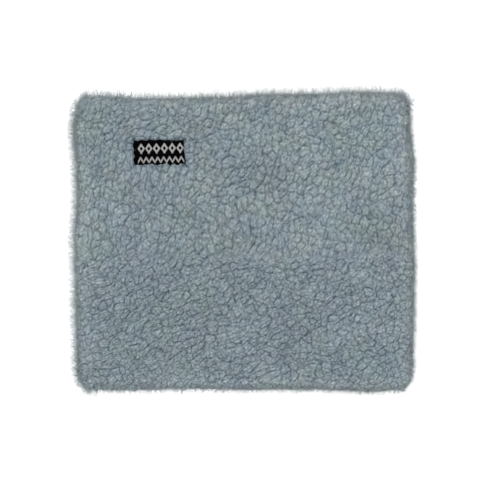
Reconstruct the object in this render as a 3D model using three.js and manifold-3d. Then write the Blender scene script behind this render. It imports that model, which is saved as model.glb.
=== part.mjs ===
// Sherpa neck gaiter lying flat: a two-panel tube of curly pile fabric with a fleece lining,
// turned mouth edges, sewn seams, a woven label on the front and a care label inside.
// Millimetres, +Z up. The tube's axis runs along Y, the front faces +Z and the origin is the
// centre of the flat underside, on the surface that the gaiter lies on.
import * as THREE from "three";
import { mergeVertices } from "three/addons/utils/BufferGeometryUtils.js";
import Module from "manifold-3d";

// Driving dimensions
const FLAT_WIDTH = 274; // side fold to side fold, over the pile
const FLAT_HEIGHT = 238; // mouth to mouth, over the pile
const SHERPA_THICKNESS = 8; // knitted backing and pile together
const LINING_THICKNESS = 2.2;
const PLY_GAP = 0.3; // between fabrics that lie on each other
const FOLD_RADIUS = 14.5; // outer radius of each side fold
const SEAM_GAP = 1.4; // between the front and back panels at a side seam
const HOOK_LENGTH = 3.75; // how far the sherpa turns inside past the rolled mouth edge
const EDGE_GAP = 1.4; // between the turned sherpa and the lining, where the edge stitching lies
const CORNER_RADIUS = 9; // corners of the flat outline
const THREAD_RADIUS = 0.4;
const LABEL_STITCH_RADIUS = 0.25;

const WALL_THICKNESS = SHERPA_THICKNESS + PLY_GAP + LINING_THICKNESS;
const TOTAL_THICKNESS = 2 * FOLD_RADIUS + SEAM_GAP;
const MID_HEIGHT = TOTAL_THICKNESS / 2;
const HALF_WIDTH = FLAT_WIDTH / 2;
const HALF_HEIGHT = FLAT_HEIGHT / 2;
const HALF_FLAT = HALF_WIDTH - FOLD_RADIUS; // the walls are flat between -HALF_FLAT and HALF_FLAT
const ROLL_RADIUS = WALL_THICKNESS / 2; // rolled mouth edge
const ROLL_START = HALF_HEIGHT - ROLL_RADIUS;
const HOOK_END = ROLL_START - HOOK_LENGTH;
const LINING_HALF_HEIGHT = HOOK_END - EDGE_GAP;
const LINING_DEPTH = SHERPA_THICKNESS + PLY_GAP; // from the pile's surface to the lining

// Woven label on the front, near the upper left corner
const LABEL = {
  width: 42.4,
  height: 22,
  x: -66.6,
  y: 70.2,
  tilt: 1.4, // degrees, right end up
  thickness: 0.5,
  foldedThickness: 1.3,
  fold: 6, // length of each end that is folded under
  motifHeight: 0.3,
  pocketDepth: 3.4, // how far the sewn label presses the pile down
  clearance: 0.3,
  stitchInset: 1.1, // from each folded end to its stitching
};

// Care label, a folded satin loop that comes out of the right lining seam onto the back lining
const CARE_LABEL = { reach: 26, width: 20, thickness: 0.6, y: -70, clearance: 0.3 };

const wasm = await Module();
wasm.setup();

function fabric(name, color, roughness) {
  return new THREE.MeshStandardMaterial({ name, color, roughness, metalness: 0 });
}

const SHERPA = fabric("sherpa", 0x8fa2ab, 0.95);
const LINING = fabric("lining", 0x8a9aa5, 0.9);
const LABEL_BLACK = fabric("label_black", 0x0c0c0d, 0.7);
const LABEL_SILVER = fabric("label_silver", 0xb9bab8, 0.6);
const THREAD = fabric("thread", 0x7d909b, 0.7);
const SATIN = fabric("care_label_satin", 0xe8e8e4, 0.45);

function named(name, geometry, material) {
  const mesh = new THREE.Mesh(geometry, material);
  mesh.name = name;
  return mesh;
}

function toSolid(geometry) {
  const bare = geometry.clone();
  bare.deleteAttribute("normal");
  bare.deleteAttribute("uv");
  const merged = mergeVertices(bare, 1e-4);
  return new wasm.Manifold(
    new wasm.Mesh({
      numProp: 3,
      vertProperties: merged.attributes.position.array,
      triVerts: new Uint32Array(merged.index.array),
    }),
  );
}

function toGeometry(solid) {
  const mesh = solid.getMesh();
  const geometry = new THREE.BufferGeometry();
  geometry.setAttribute("position", new THREE.BufferAttribute(mesh.vertProperties, 3));
  geometry.setIndex(new THREE.BufferAttribute(mesh.triVerts, 1));
  geometry.computeVertexNormals();
  return geometry;
}

// The pile surface of one wall, from the left side seam over the flat wall to the right seam.
// Steps are closer together in the two folds than on the flat wall.
class WallPath extends THREE.Curve {
  static FOLD_SHARE = 0.36;

  getPoint(t, target = new THREE.Vector3()) {
    const share = WallPath.FOLD_SHARE;
    const height = SEAM_GAP / 2;
    if (t < share || t > 1 - share) {
      const side = t < share ? -1 : 1;
      const turned = (Math.min(t, 1 - t) / share) * (Math.PI / 2);
      const x = side * (HALF_FLAT + FOLD_RADIUS * Math.cos(turned));
      return target.set(x, 0, height + FOLD_RADIUS * Math.sin(turned));
    }
    const along = (t - share) / (1 - 2 * share);
    return target.set(HALF_FLAT * (2 * along - 1), 0, height + FOLD_RADIUS);
  }

  getTangent(t, target = new THREE.Vector3()) {
    const share = WallPath.FOLD_SHARE;
    const turned = Math.min(1, Math.min(t, 1 - t) / share) * (Math.PI / 2);
    const rise = t < 0.5 ? 1 : -1;
    return target.set(Math.sin(turned), 0, rise * Math.cos(turned)).normalize();
  }

  getPointAt(u, target) {
    return this.getPoint(u, target);
  }

  getTangentAt(u, target) {
    return this.getTangent(u, target);
  }
}

// Sweeps a section along the wall. The section's x is minus the position along the tube's axis,
// and its y is the depth under the pile's surface.
function sweepAlongWall(section) {
  return new THREE.ExtrudeGeometry(section, {
    extrudePath: new WallPath(),
    steps: 25,
    curveSegments: 6,
  });
}

// Sherpa panel: flat face, rolled round both mouth edges, with a short hook on the inside.
function sherpaPanelGeometry() {
  const section = new THREE.Shape();
  section.moveTo(-ROLL_START, 0);
  section.lineTo(ROLL_START, 0);
  section.absarc(ROLL_START, ROLL_RADIUS, ROLL_RADIUS, -Math.PI / 2, Math.PI / 2, false);
  section.lineTo(HOOK_END, WALL_THICKNESS);
  section.lineTo(HOOK_END, SHERPA_THICKNESS);
  section.lineTo(-HOOK_END, SHERPA_THICKNESS);
  section.lineTo(-HOOK_END, WALL_THICKNESS);
  section.lineTo(-ROLL_START, WALL_THICKNESS);
  section.absarc(-ROLL_START, ROLL_RADIUS, ROLL_RADIUS, Math.PI / 2, (3 * Math.PI) / 2, false);
  return sweepAlongWall(section);
}

function liningPanelGeometry() {
  const section = new THREE.Shape();
  section.moveTo(-LINING_HALF_HEIGHT, LINING_DEPTH);
  section.lineTo(LINING_HALF_HEIGHT, LINING_DEPTH);
  section.lineTo(LINING_HALF_HEIGHT, WALL_THICKNESS);
  section.lineTo(-LINING_HALF_HEIGHT, WALL_THICKNESS);
  return sweepAlongWall(section);
}

// Thread that joins the turned sherpa to the lining, along one mouth edge of one wall.
function edgeThreadGeometry(position) {
  const depth = WALL_THICKNESS - 2 * THREAD_RADIUS;
  const section = new THREE.Shape();
  section.absarc(-position, depth, THREAD_RADIUS, 0, 2 * Math.PI, false);
  return new THREE.ExtrudeGeometry(section, {
    extrudePath: new WallPath(),
    steps: 25,
    curveSegments: 3,
  });
}

// Block with the gaiter's flat outline, taller than the gaiter.
function outlineSolid() {
  const w = HALF_WIDTH;
  const h = HALF_HEIGHT;
  const r = CORNER_RADIUS;
  const outline = new THREE.Shape();
  outline.absarc(w - r, h - r, r, 0, Math.PI / 2, false);
  outline.absarc(-w + r, h - r, r, Math.PI / 2, Math.PI, false);
  outline.absarc(-w + r, -h + r, r, Math.PI, (3 * Math.PI) / 2, false);
  outline.absarc(w - r, -h + r, r, (3 * Math.PI) / 2, 2 * Math.PI, false);
  const block = new THREE.ExtrudeGeometry(outline, {
    depth: 2 * TOTAL_THICKNESS,
    bevelEnabled: false,
    curveSegments: 5,
  });
  block.translate(0, 0, -TOTAL_THICKNESS);
  return toSolid(block);
}

// Pocket that the sewn label presses into the front pile, in the front wall's own frame.
function labelPocketSolid() {
  const pocket = new THREE.BoxGeometry(
    LABEL.width + 2 * LABEL.clearance,
    LABEL.height + 2 * LABEL.clearance,
    2 * LABEL.pocketDepth,
  );
  pocket.rotateZ(THREE.MathUtils.degToRad(LABEL.tilt));
  pocket.translate(LABEL.x, LABEL.y, MID_HEIGHT);
  return toSolid(pocket);
}

// One wall of the tube: sherpa, lining and the two runs of edge stitching.
function makeWall(side) {
  const wall = new THREE.Group();
  let sherpa = toSolid(sherpaPanelGeometry()).intersect(outlineSolid());
  if (side === "front") sherpa = sherpa.subtract(labelPocketSolid());
  const edgePosition = HOOK_END - EDGE_GAP / 2;
  wall.add(
    named(`outer_${side}_panel`, toGeometry(sherpa), SHERPA),
    named(`lining_${side}_panel`, liningPanelGeometry(), LINING),
    named(`top_edge_stitching_${side}`, edgeThreadGeometry(edgePosition), THREAD),
    named(`bottom_edge_stitching_${side}`, edgeThreadGeometry(-edgePosition), THREAD),
  );
  wall.position.z = MID_HEIGHT;
  return wall;
}

// Zigzag thread of a side seam, lying in the gap between the front and back panels.
class SeamPath extends THREE.Curve {
  constructor(x, swing, from, to, periods) {
    super();
    Object.assign(this, { x, swing, from, to, periods });
  }

  getPoint(t, target = new THREE.Vector3()) {
    const phase = 2 * Math.PI * this.periods * t;
    return target.set(
      this.x + this.swing * Math.sin(phase),
      THREE.MathUtils.lerp(this.from, this.to, t),
      MID_HEIGHT,
    );
  }
}

function seamThread(name, { side, depth, swing, from, to }) {
  const stitchPitch = 10;
  const stepsPerStitch = 4;
  const periods = Math.round((to - from) / stitchPitch);
  const section = new THREE.Shape();
  section.absarc(0, 0, THREAD_RADIUS, 0, 2 * Math.PI, false);
  const geometry = new THREE.ExtrudeGeometry(section, {
    extrudePath: new SeamPath(side * (HALF_WIDTH - depth), swing, from, to, periods),
    steps: periods * stepsPerStitch,
    curveSegments: 3,
  });
  return named(name, geometry, THREAD);
}

function makeSeamThreads() {
  const end = LINING_HALF_HEIGHT - 2;
  const outer = { depth: 4.2, swing: 2.6, from: -end, to: end };
  const inner = { depth: LINING_DEPTH + LINING_THICKNESS / 2, swing: 0.6, from: -end, to: end };
  const gapTop = -22; // the turning gap in the left lining seam, closed by hand
  const gapBottom = -92;
  const threadEndGap = 2; // between the machine seam's thread ends and the hand stitches
  return [
    seamThread("side_seam_thread_left", { side: -1, ...outer }),
    seamThread("side_seam_thread_right", { side: 1, ...outer }),
    seamThread("lining_seam_thread_left", { side: -1, ...inner, from: gapTop + threadEndGap }),
    seamThread("lining_seam_thread_left_lower", { side: -1, ...inner, to: gapBottom - threadEndGap }),
    seamThread("lining_seam_thread_right", { side: 1, ...inner }),
    seamThread("turning_gap_stitches", { side: -1, ...inner, from: gapBottom, to: gapTop }),
  ];
}

// Woven label with both ends folded under, seen along the Y axis and extruded along it.
function labelGeometry() {
  const half = LABEL.width / 2;
  const step = LABEL.foldedThickness - LABEL.thickness;
  const section = new THREE.Shape();
  section.moveTo(-half, 0);
  section.lineTo(-half + LABEL.fold, 0);
  section.lineTo(-half + LABEL.fold, step);
  section.lineTo(half - LABEL.fold, step);
  section.lineTo(half - LABEL.fold, 0);
  section.lineTo(half, 0);
  section.lineTo(half, LABEL.foldedThickness);
  section.lineTo(-half, LABEL.foldedThickness);
  const geometry = new THREE.ExtrudeGeometry(section, { depth: LABEL.height, bevelEnabled: false });
  geometry.rotateX(Math.PI / 2);
  geometry.translate(0, LABEL.height / 2, 0);
  return geometry;
}

// Raised pattern: a chain of diamonds that touch at their points, each with an open centre.
function diamondBandGeometry() {
  const count = 6;
  const halfWidth = 3.1;
  const halfHeight = 4.8;
  const link = 0.5; // half height of the bridge between two diamonds
  const openWidth = 1.2; // half width of the open centre
  const openHeight = 1.9;
  const start = -count * halfWidth;
  const outline = new THREE.Shape();
  outline.moveTo(start, -link);
  for (let i = 0; i < count; i += 1) {
    const centre = start + (2 * i + 1) * halfWidth;
    outline.lineTo(centre, -halfHeight);
    outline.lineTo(centre + halfWidth, -link);
  }
  for (let i = count - 1; i >= 0; i -= 1) {
    const centre = start + (2 * i + 1) * halfWidth;
    outline.lineTo(centre + halfWidth, link);
    outline.lineTo(centre, halfHeight);
  }
  outline.lineTo(start, link);
  for (let i = 0; i < count; i += 1) {
    const centre = start + (2 * i + 1) * halfWidth;
    const hole = new THREE.Path();
    hole.moveTo(centre - openWidth, 0);
    hole.lineTo(centre, openHeight);
    hole.lineTo(centre + openWidth, 0);
    hole.lineTo(centre, -openHeight);
    outline.holes.push(hole);
  }
  return new THREE.ExtrudeGeometry(outline, { depth: LABEL.motifHeight, bevelEnabled: false });
}

// Raised pattern: a broad zigzag line.
function zigzagBandGeometry() {
  const count = 8;
  const halfPitch = 2.325;
  const halfRise = 1.8;
  const halfLine = 1.2; // half the line's width, measured along Y
  const start = -count * halfPitch;
  const centreLine = (i) => (i % 2 === 0 ? -halfRise : halfRise);
  const outline = new THREE.Shape();
  outline.moveTo(start, centreLine(0) - halfLine);
  for (let i = 1; i <= 2 * count; i += 1) {
    outline.lineTo(start + i * halfPitch, centreLine(i) - halfLine);
  }
  for (let i = 2 * count; i >= 0; i -= 1) {
    outline.lineTo(start + i * halfPitch, centreLine(i) + halfLine);
  }
  return new THREE.ExtrudeGeometry(outline, { depth: LABEL.motifHeight, bevelEnabled: false });
}

// Straight run of thread along one folded end of the label.
function labelStitchGeometry() {
  const endMargin = 1.2;
  const length = LABEL.height - 2 * endMargin;
  return new THREE.CylinderGeometry(LABEL_STITCH_RADIUS, LABEL_STITCH_RADIUS, length, 8);
}

function makeLabel() {
  const label = new THREE.Group();
  const lift = 0.1; // between the label and what is woven or sewn on it
  const top = LABEL.foldedThickness + lift;
  const diamonds = named("label_motif_diamonds", diamondBandGeometry(), LABEL_SILVER);
  diamonds.position.set(1, 3.2, top);
  const zigzag = named("label_motif_zigzag", zigzagBandGeometry(), LABEL_SILVER);
  zigzag.position.set(1, -6, top);
  label.add(named("woven_label", labelGeometry(), LABEL_BLACK), diamonds, zigzag);
  const stitchPosition = LABEL.width / 2 - LABEL.stitchInset;
  for (const [name, side] of [["left", -1], ["right", 1]]) {
    const thread = named(`label_stitching_${name}`, labelStitchGeometry(), LABEL_BLACK);
    thread.position.set(side * stitchPosition, 0, top + LABEL_STITCH_RADIUS);
    label.add(thread);
  }
  label.position.set(LABEL.x, LABEL.y, TOTAL_THICKNESS - LABEL.pocketDepth + LABEL.clearance);
  label.rotation.z = THREE.MathUtils.degToRad(LABEL.tilt);
  return label;
}

// The care label follows the lining down from the seam and then lies flat on it.
function makeCareLabel() {
  const outer = FOLD_RADIUS - WALL_THICKNESS - CARE_LABEL.clearance;
  const inner = outer - CARE_LABEL.thickness;
  const section = new THREE.Shape();
  section.moveTo(-CARE_LABEL.reach, -outer);
  section.lineTo(0, -outer);
  section.absarc(0, 0, outer, -Math.PI / 2, 0, false);
  section.absarc(0, 0, inner, 0, -Math.PI / 2, true);
  section.lineTo(-CARE_LABEL.reach, -inner);
  const geometry = new THREE.ExtrudeGeometry(section, {
    depth: CARE_LABEL.width,
    bevelEnabled: false,
    curveSegments: 5,
  });
  geometry.rotateX(Math.PI / 2);
  const label = named("care_label", geometry, SATIN);
  label.position.set(HALF_FLAT, CARE_LABEL.y + CARE_LABEL.width / 2, FOLD_RADIUS);
  return label;
}

const gaiter = new THREE.Group();
const front = makeWall("front");
const back = makeWall("back");
back.rotation.y = Math.PI; // the back wall is the front wall turned over about the tube's axis
gaiter.add(front, back, ...makeSeamThreads(), makeLabel(), makeCareLabel());

export default gaiter;
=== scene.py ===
"""Looks of the sherpa neck gaiter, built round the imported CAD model.

Shapes are worked out in millimetres in the row frame and become metres when a mesh is made.
A wall of the tube, front or back, has two coordinates on its pile surface:
  s  distance from the middle of the wall towards its right side seam, round the side fold
  q  distance from the middle of the wall towards the upper mouth, round the rolled mouth edge
     and on into the hook, where the sherpa meets the lining inside the tube.
"""

import math
from types import SimpleNamespace

import bpy
import numpy as np
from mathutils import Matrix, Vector


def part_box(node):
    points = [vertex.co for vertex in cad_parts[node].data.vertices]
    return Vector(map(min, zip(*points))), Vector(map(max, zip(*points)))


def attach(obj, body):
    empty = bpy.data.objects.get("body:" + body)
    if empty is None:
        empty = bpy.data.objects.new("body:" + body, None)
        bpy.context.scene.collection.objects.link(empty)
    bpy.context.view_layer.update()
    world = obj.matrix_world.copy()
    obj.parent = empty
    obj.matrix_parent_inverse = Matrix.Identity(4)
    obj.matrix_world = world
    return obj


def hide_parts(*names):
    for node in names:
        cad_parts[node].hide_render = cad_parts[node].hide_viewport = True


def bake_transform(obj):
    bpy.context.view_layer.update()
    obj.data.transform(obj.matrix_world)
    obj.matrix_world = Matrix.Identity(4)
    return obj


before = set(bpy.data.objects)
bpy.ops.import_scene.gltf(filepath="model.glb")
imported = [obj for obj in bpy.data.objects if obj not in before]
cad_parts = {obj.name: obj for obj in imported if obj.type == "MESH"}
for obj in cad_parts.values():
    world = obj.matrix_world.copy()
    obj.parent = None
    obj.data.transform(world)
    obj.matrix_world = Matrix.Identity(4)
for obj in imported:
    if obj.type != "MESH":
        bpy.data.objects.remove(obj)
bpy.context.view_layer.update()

MM = 0.001


def box_mm(node):
    low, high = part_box(node)
    return np.array(low) / MM, np.array(high) / MM


# ---------------- driving sizes, in millimetres

LINING_THICKNESS = 2.2
HOOK_LENGTH = 3.75  # sherpa that runs on inside, past the rolled mouth edge
CREASE_Y = -11.0  # the gaiter was once folded across here
FLOOR_CLEARANCE = 0.05

BACKING_DEPTH = 7.4  # from the pile's surface to the middle of the knit it stands on
BACKING_THICKNESS = 1.0
BACKING_TURN_INSET = 1.0
BACKING_TURN = 0.85  # radius of its turn round a mouth edge
BACKING_TAIL = 2.4  # what follows the turn
BACKING_RIPPLE = 0.05
BACKING_SPACING = 1.6
LINING_RIPPLE = 0.12
LINING_SPACING = 1.5
LINING_CLEARANCE = 0.3
BEND_START = 9.2  # height above the floor at which fabric on the side folds starts to bend
CARE_BEND_START = 11.6

# How far each edge of the lying gaiter bulges out (+) or pulls in (-), along that edge.
LEFT_EDGE = [
    (-119, -6.6), (-100, -5.3), (-45, -4.4), (-5, -3.1),
    (35, -4.9), (60, -4.7), (88, -2.5), (119, -5.2),
]
RIGHT_EDGE = [
    (-119, -4.8), (-95, -2.9), (-25, -1.6), (25, -2.8),
    (60, -2.2), (95, -5.2), (119, -5.6),
]
TOP_EDGE = [
    (-137, -6.7), (-112, -5.5), (-83, -7.0), (-30, -6.2), (25, -3.5),
    (50, -3.3), (85, -2.4), (110, -2.2), (137, -5.1),
]
BOTTOM_EDGE = [
    (-137, -3.1), (-100, -1.9), (-62, -2.8), (-20, -2.4),
    (8, -1.9), (55, -2.4), (105, -0.7), (137, -2.9),
]
PULL_ACROSS = (70, 137)  # the pull grows between these distances from the middle
PULL_ALONG = (70, 119)
CORNER_RADII = {(-1, 1): 5.0, (1, 1): 6.0, (-1, -1): 9.0, (1, -1): 7.5}
CORNER_POWER = 3.8  # 2 is a round corner, more is squarer

SAG_DEPTH = 3.8
SAG_MARGIN = 4.0
SAG_WAVES = [(0.9, 46, 40, 71), (0.5, 21, 24, 72)]

# Layers of curls, tall above the crease and low below it: size along s and q, angle,
# width and depth of the cracks, and seed.
TALL_CURLS = (5.6, 7.8, -0.22, 0.4, 0.2, 10)
LOW_CURLS = (6.4, 5.6, 0.42, 0.34, 0.4, 20)
TALL_LOCKS = (2.5, 3.6, -0.3, 0.5, 0.15, 30)
LOW_LOCKS = (3.0, 2.5, 0.5, 0.42, 0.35, 40)
TALL_TUFTS = (15.0, 19.0, -0.4, 0.24, 0.6, 50)
LOW_TUFTS = (19.0, 11.0, 0.5, 0.16, 0.6, 60)

# Waves: height, size along s and q, and seed.
SWIRL_ACROSS = [(3.4, 34, 34, 1), (1.5, 8, 8, 2), (0.45, 2.4, 2.4, 5)]
SWIRL_ALONG = [(3.4, 34, 34, 3), (1.5, 8, 8, 4), (0.45, 2.4, 2.4, 6)]
SWELL_WAVES = [(0.6, 17, 15, 8), (0.4, 9, 9, 12)]
DYE_WAVES = [(0.6, 55, 48, 13), (0.4, 24, 22, 14)]
CREASE_WAVES = [(3.5, 60, 60, 7)]
HUE_WAVES = [(1.0, 15, 13, 15)]
RIPPLE_WAVES = [(1.0, 1.9, 1.9, 40), (2.0, 11, 9, 42)]
FUZZ_WAVES = [(0.4, 1.2, 1.2, 11)]
LABEL_RIM_WAVES = [(1.2, 2.9, 2.9, 9)]

# Relief of the pile.
PILE_LIFT = 1.2
CURL_RELIEF = 1.85
LOCK_RELIEF = 1.65
LOCK_RELIEF_LESS = 0.45  # the tall locks have less
TUFT_RELIEF = 1.0
SWELL_RELIEF = 0.8
CREASE_RELIEF = 0.9
CREASE_WIDTH = 5.0
CREASE_BLEND = 5.0  # half of the band in which the tall curls give way to the low ones
HOOK_FLATTENING = 0.65
SEAM_LEVEL = -2.4  # pile beside a side seam, which is fuller on the rolled edges
SEAM_RISE_ON_ROLL = 2.2
SEAM_BOTTOM = -6.5  # the last points, in the seam
SEAM_BOTTOM_RISE_ON_ROLL = 4.9
SEAM_GROOVE = 3.0
HOOK_END_LEVEL = -2.0
LABEL_POCKET = -4.2  # pile pressed down under the label

# What each part of the pattern adds to a curl's painted values.
# The tip value is painted shade: low in the cracks and in the gaps between tufts, high on the crowns.
TIP_WEIGHTS = {"base": 0.1, "upper": 0.05, "curl": 0.465, "lock": 0.505, "swell": 0.12, "gap": -0.18}
DYE_AND_SHADOW_WEIGHTS = {"base": 0.72, "upper": 0.09, "shade": 0.3, "broad": 0.12, "tuft": 0.14, "shadow": -0.6}
# The tip and tuft terms of the hue make the painted shade in the cracks and gaps cooler.
HUE_WEIGHTS = {"base": 0.4, "upper": 0.2, "patch": 0.4, "number": 0.2, "tip": 0.25, "tuft": 0.3}
LABEL_SHADOW_ON_TIP = 0.4
# Painted rim light: the pile on the rolled mouth edges and side folds is painted paler, standing in for
# the bright side light of a light tent.
PILE_RIM_LIGHT = 0.56
SIDE_RIM_LIGHT = 0.72  # painted rim light is weaker on the side folds than on the mouth edges

PILE_STEP = 0.55
PILE_SEEDS = {"front": 100, "back": 500}

FIBRE_COUNT = 29000  # for each wall
FIBRE_POINTS = 5
FIBRE_SIDES = 3
FIBRE_RADIUS = 0.095
FIBRE_LENGTHS = (2.6, 5.2)
FIBRE_CURLS = (0.6, 1.8)
FIBRE_TURN = 2.4
FIBRE_LIFTS = (0.2, 0.9)  # height of the arch
FIBRE_RISES = (0.1, 0.5)  # height of the free end
FIBRE_SINK = 0.25
RIM_SHARE = 0.6  # share of the fibres that stand round the outline
RIM_RISE = 1.9
RIM_RISE_LIMIT = 4.4
LOOSE_RIM = 1.6  # the left and upper edges are looser
TUCK_TURN = (1.5, 2.3)  # angles on the roll between which fibres are pressed down
TUCKED = 0.85

WHIP_GAP = 0.7
WHIP_PITCH = 3.4
WHIP_REACH = 1.5
WHIP_SLANT = 1.1
WHIP_THREAD = 0.28
# Side seams: the thread's radius, its pitch, and how far it swings to either side.
LINING_SEAM = (0.22, 2.6, 1.0)
OUTER_SEAM = (0.25, 3.0, 2.0)
HAND_SEAM = (0.3, 5.0, 1.2)
SEAM_END_INSET = 2.0
GAP_TOP = -22.0
GAP_BOTTOM = -92.0
THREAD_END_GAP = 2.0
THREAD_END_TAPER = 0.45

LABEL_WIDTH = 42.4
LABEL_HEIGHT = 22.0
LABEL_THICKNESS = 0.5
LABEL_FOLD = 6.0  # folded under at each end
LABEL_TILT = math.radians(1.4)
FLOAT_RADIUS = 0.2
FLOAT_PITCH = 0.4
SHORTEST_FLOAT = 0.15
FLOAT_ARCH = 0.22
DIAMOND_COUNT = 6
DIAMOND_HALF = (3.1, 4.8)  # half its width and height
DIAMOND_OPENING = (1.2, 1.9)
DIAMOND_CENTRE = (1.0, 3.2)
ZIGZAG_COUNT = 8
ZIGZAG_HALF = (2.325, 1.8)  # half its pitch and rise
ZIGZAG_HALF_LINE = 1.2
ZIGZAG_CENTRE = (1.0, -6.0)
LABEL_STITCH_PITCH = 2.6
LABEL_STITCH_LENGTH = 2.0
LABEL_STITCH_INSET = 1.1

CARE_THICKNESS = 0.22
CARE_LAYER_GAP = 0.34

CAMERA_LENS = 85.0
CAMERA_SENSOR = 36.0
VIEW_WIDTH = 384.0
VIEW_CENTRE = (-2.8, 0.8)

# Colours and light.
# Painted shade: the pile runs from the dark crack colour between curls to the pale tip colour.
PILE_CRACK_SHADE = (0.052, 0.075, 0.095, 1)
PILE_MIDDLE = (0.127, 0.16, 0.176, 1)
PILE_TIP = (0.181, 0.217, 0.232, 1)
# The cool hue falls on random patches and, with the painted shade, in the cracks.
COOL_HUE = (0.95, 0.985, 1.045, 1)
WARM_HUE = (1.045, 1.02, 0.955, 1)
# Painted rim light: how much paler and greyer the pile is painted on its edges.
RIM_LIGHT_TINT = (1.42, 1.36, 1.31, 1)
PINK_TINT = (1.012, 0.98, 1.012, 1)
GREEN_TINT = (0.988, 1.02, 0.988, 1)
ZENITH_LIGHT = 0.87
HORIZON_LIGHT = 3.0  # white studio walls, which light the side folds
SUN_LIGHT = 2.3
SUN_ANGLE = math.radians(40)
SUN_DIRECTION = (0.32, -0.5, -1.0)
FLOOR_GLOW = 0.98  # the floor is a light table, so that the gaiter casts no shadow on it
FLOOR_SIZE = 40.0  # half its width, in metres

# ---------------- sizes, from the CAD frame

PANEL_LOW, PANEL_HIGH = box_mm("outer_front_panel")
_, LINING_HIGH = box_mm("lining_front_panel")
HALF_WIDTH = PANEL_HIGH[0]
HALF_HEIGHT = PANEL_HIGH[1]
THICKNESS = PANEL_HIGH[2]
MIDDLE = THICKNESS / 2
FOLD_RADIUS = PANEL_HIGH[2] - PANEL_LOW[2]
SEAM_HALF_GAP = THICKNESS / 2 - FOLD_RADIUS
LINING_DEPTH = THICKNESS - LINING_HIGH[2]  # from the pile's surface to the lining
LINING_MIDDLE = LINING_DEPTH + LINING_THICKNESS / 2
LINING_HALF_HEIGHT = LINING_HIGH[1]
WALL_DEPTH = LINING_DEPTH + LINING_THICKNESS
ROLL_RADIUS = WALL_DEPTH / 2
FLAT_X = HALF_WIDTH - FOLD_RADIUS
FLAT_Y = HALF_HEIGHT - ROLL_RADIUS
S_END = FLAT_X + FOLD_RADIUS * math.pi / 2 + SEAM_HALF_GAP
Q_END = FLAT_Y + ROLL_RADIUS * math.pi + HOOK_LENGTH
BACKING_FLAT = FLAT_Y - BACKING_TURN_INSET  # half of what lies flat
STITCH_Y = LINING_HALF_HEIGHT + WHIP_GAP  # edge stitching, between the lining and the hook
SEAM_END = LINING_HALF_HEIGHT - SEAM_END_INSET

# Heights between which fabric that crosses the side folds bends from the back to the front wall.
BEND = (BEND_START, THICKNESS - BEND_START)
CARE_BEND = (CARE_BEND_START, THICKNESS - CARE_BEND_START)

LABEL_LOW, LABEL_HIGH = box_mm("woven_label")
LABEL_CENTRE = (LABEL_LOW + LABEL_HIGH) / 2
LABEL_TOP = LABEL_HIGH[2]
LABEL_RISE = LABEL_TOP - LABEL_LOW[2]

# ---------------- random fields


def hashed(i, j, seed):
    """Even random numbers from 0 to 1, one for each pair of whole numbers."""
    n = (i.astype(np.int64) * 374761393 + j.astype(np.int64) * 668265263 + seed * 974711) & 0xFFFFFFFF
    n = ((n ^ (n >> 13)) * 1274126177) & 0xFFFFFFFF
    n = ((n ^ (n >> 15)) * 2246822519) & 0xFFFFFFFF
    return ((n ^ (n >> 16)) & 0xFFFFF) / float(0xFFFFF)


def smooth(low, high, value):
    t = np.clip((value - low) / (high - low), 0, 1)
    return t * t * (3 - 2 * t)


def noise(a, b, seed):
    """Smooth noise from -1 to 1 with features about one unit across."""
    i, j = np.floor(a), np.floor(b)
    fa, fb = smooth(0, 1, a - i), smooth(0, 1, b - j)
    low = hashed(i, j, seed) * (1 - fa) + hashed(i + 1, j, seed) * fa
    high = hashed(i, j + 1, seed) * (1 - fa) + hashed(i + 1, j + 1, seed) * fa
    return 2 * (low * (1 - fb) + high * fb) - 1


def waves(a, b, layers, seed=0):
    """Sum of noises, each with its height, sizes and seed."""
    return sum(high * noise(a / size_a, b / size_b, seed + own) for high, size_a, size_b, own in layers)


def cells(a, b, seed, width, depth):
    """Cell pattern of rounded lobes with cracks of uneven depth between neighbours.

    Returns the height in the cell from 0 to 1, the cell's number and the position in the cell.
    width is the cracks' width as a share of a cell, depth their greatest depth.
    """
    i0, j0 = np.floor(a), np.floor(b)
    around, jitter = [], 0.9
    nearest = np.full(a.shape, 9.0)
    number, cell_a, cell_b = np.zeros(a.shape), np.zeros(a.shape), np.zeros(a.shape)
    for di in range(-2, 3):
        for dj in range(-2, 3):
            i, j = i0 + di, j0 + dj
            da = a - (i + 0.5 + jitter * (hashed(i, j, seed) - 0.5))
            db = b - (j + 0.5 + jitter * (hashed(i, j, seed + 1) - 0.5))
            distance, value = np.hypot(da, db), hashed(i, j, seed + 2)
            around.append((distance, value))
            closer = distance < nearest
            number = np.where(closer, value, number)
            cell_a, cell_b = np.where(closer, da, cell_a), np.where(closer, db, cell_b)
            nearest = np.minimum(nearest, distance)
    crack, border = np.zeros(a.shape), np.full(a.shape, 9.0)
    for distance, value in around:
        # Every pair of neighbours has a crack of its own strength.
        strength = 0.1 + 0.9 * np.abs(np.sin(37.0 * (value + number))) ** 2
        reach = width * (0.6 + 0.6 * strength)
        split = strength * (1 - smooth(0, reach, distance - nearest))
        crack = np.where(value == number, crack, np.maximum(crack, split))
        border = np.where(value == number, border, np.minimum(border, distance - nearest))
    edge = 1 - np.clip(border / 0.8, 0, 1)
    height = 1 - (0.9 - depth) * edge**2 - depth * crack - 0.25 * np.clip(nearest, 0, 1) ** 2
    return np.clip(height, 0, 1), number, cell_a, cell_b


# ---------------- the tube's shape


def wall_path(s):
    """Middle height and outward normal of the front wall's pile surface: x, z, nx, nz."""
    turned = np.clip((np.abs(s) - FLAT_X) / FOLD_RADIUS, 0, math.pi / 2)
    past = np.clip(np.abs(s) - FLAT_X - FOLD_RADIUS * math.pi / 2, 0, None)
    nx, nz = np.sign(s) * np.sin(turned), np.cos(turned)
    x = np.clip(s, -FLAT_X, FLAT_X) + FOLD_RADIUS * nx
    z = MIDDLE + SEAM_HALF_GAP + FOLD_RADIUS * nz - past
    return x, z, nx, nz


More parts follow.
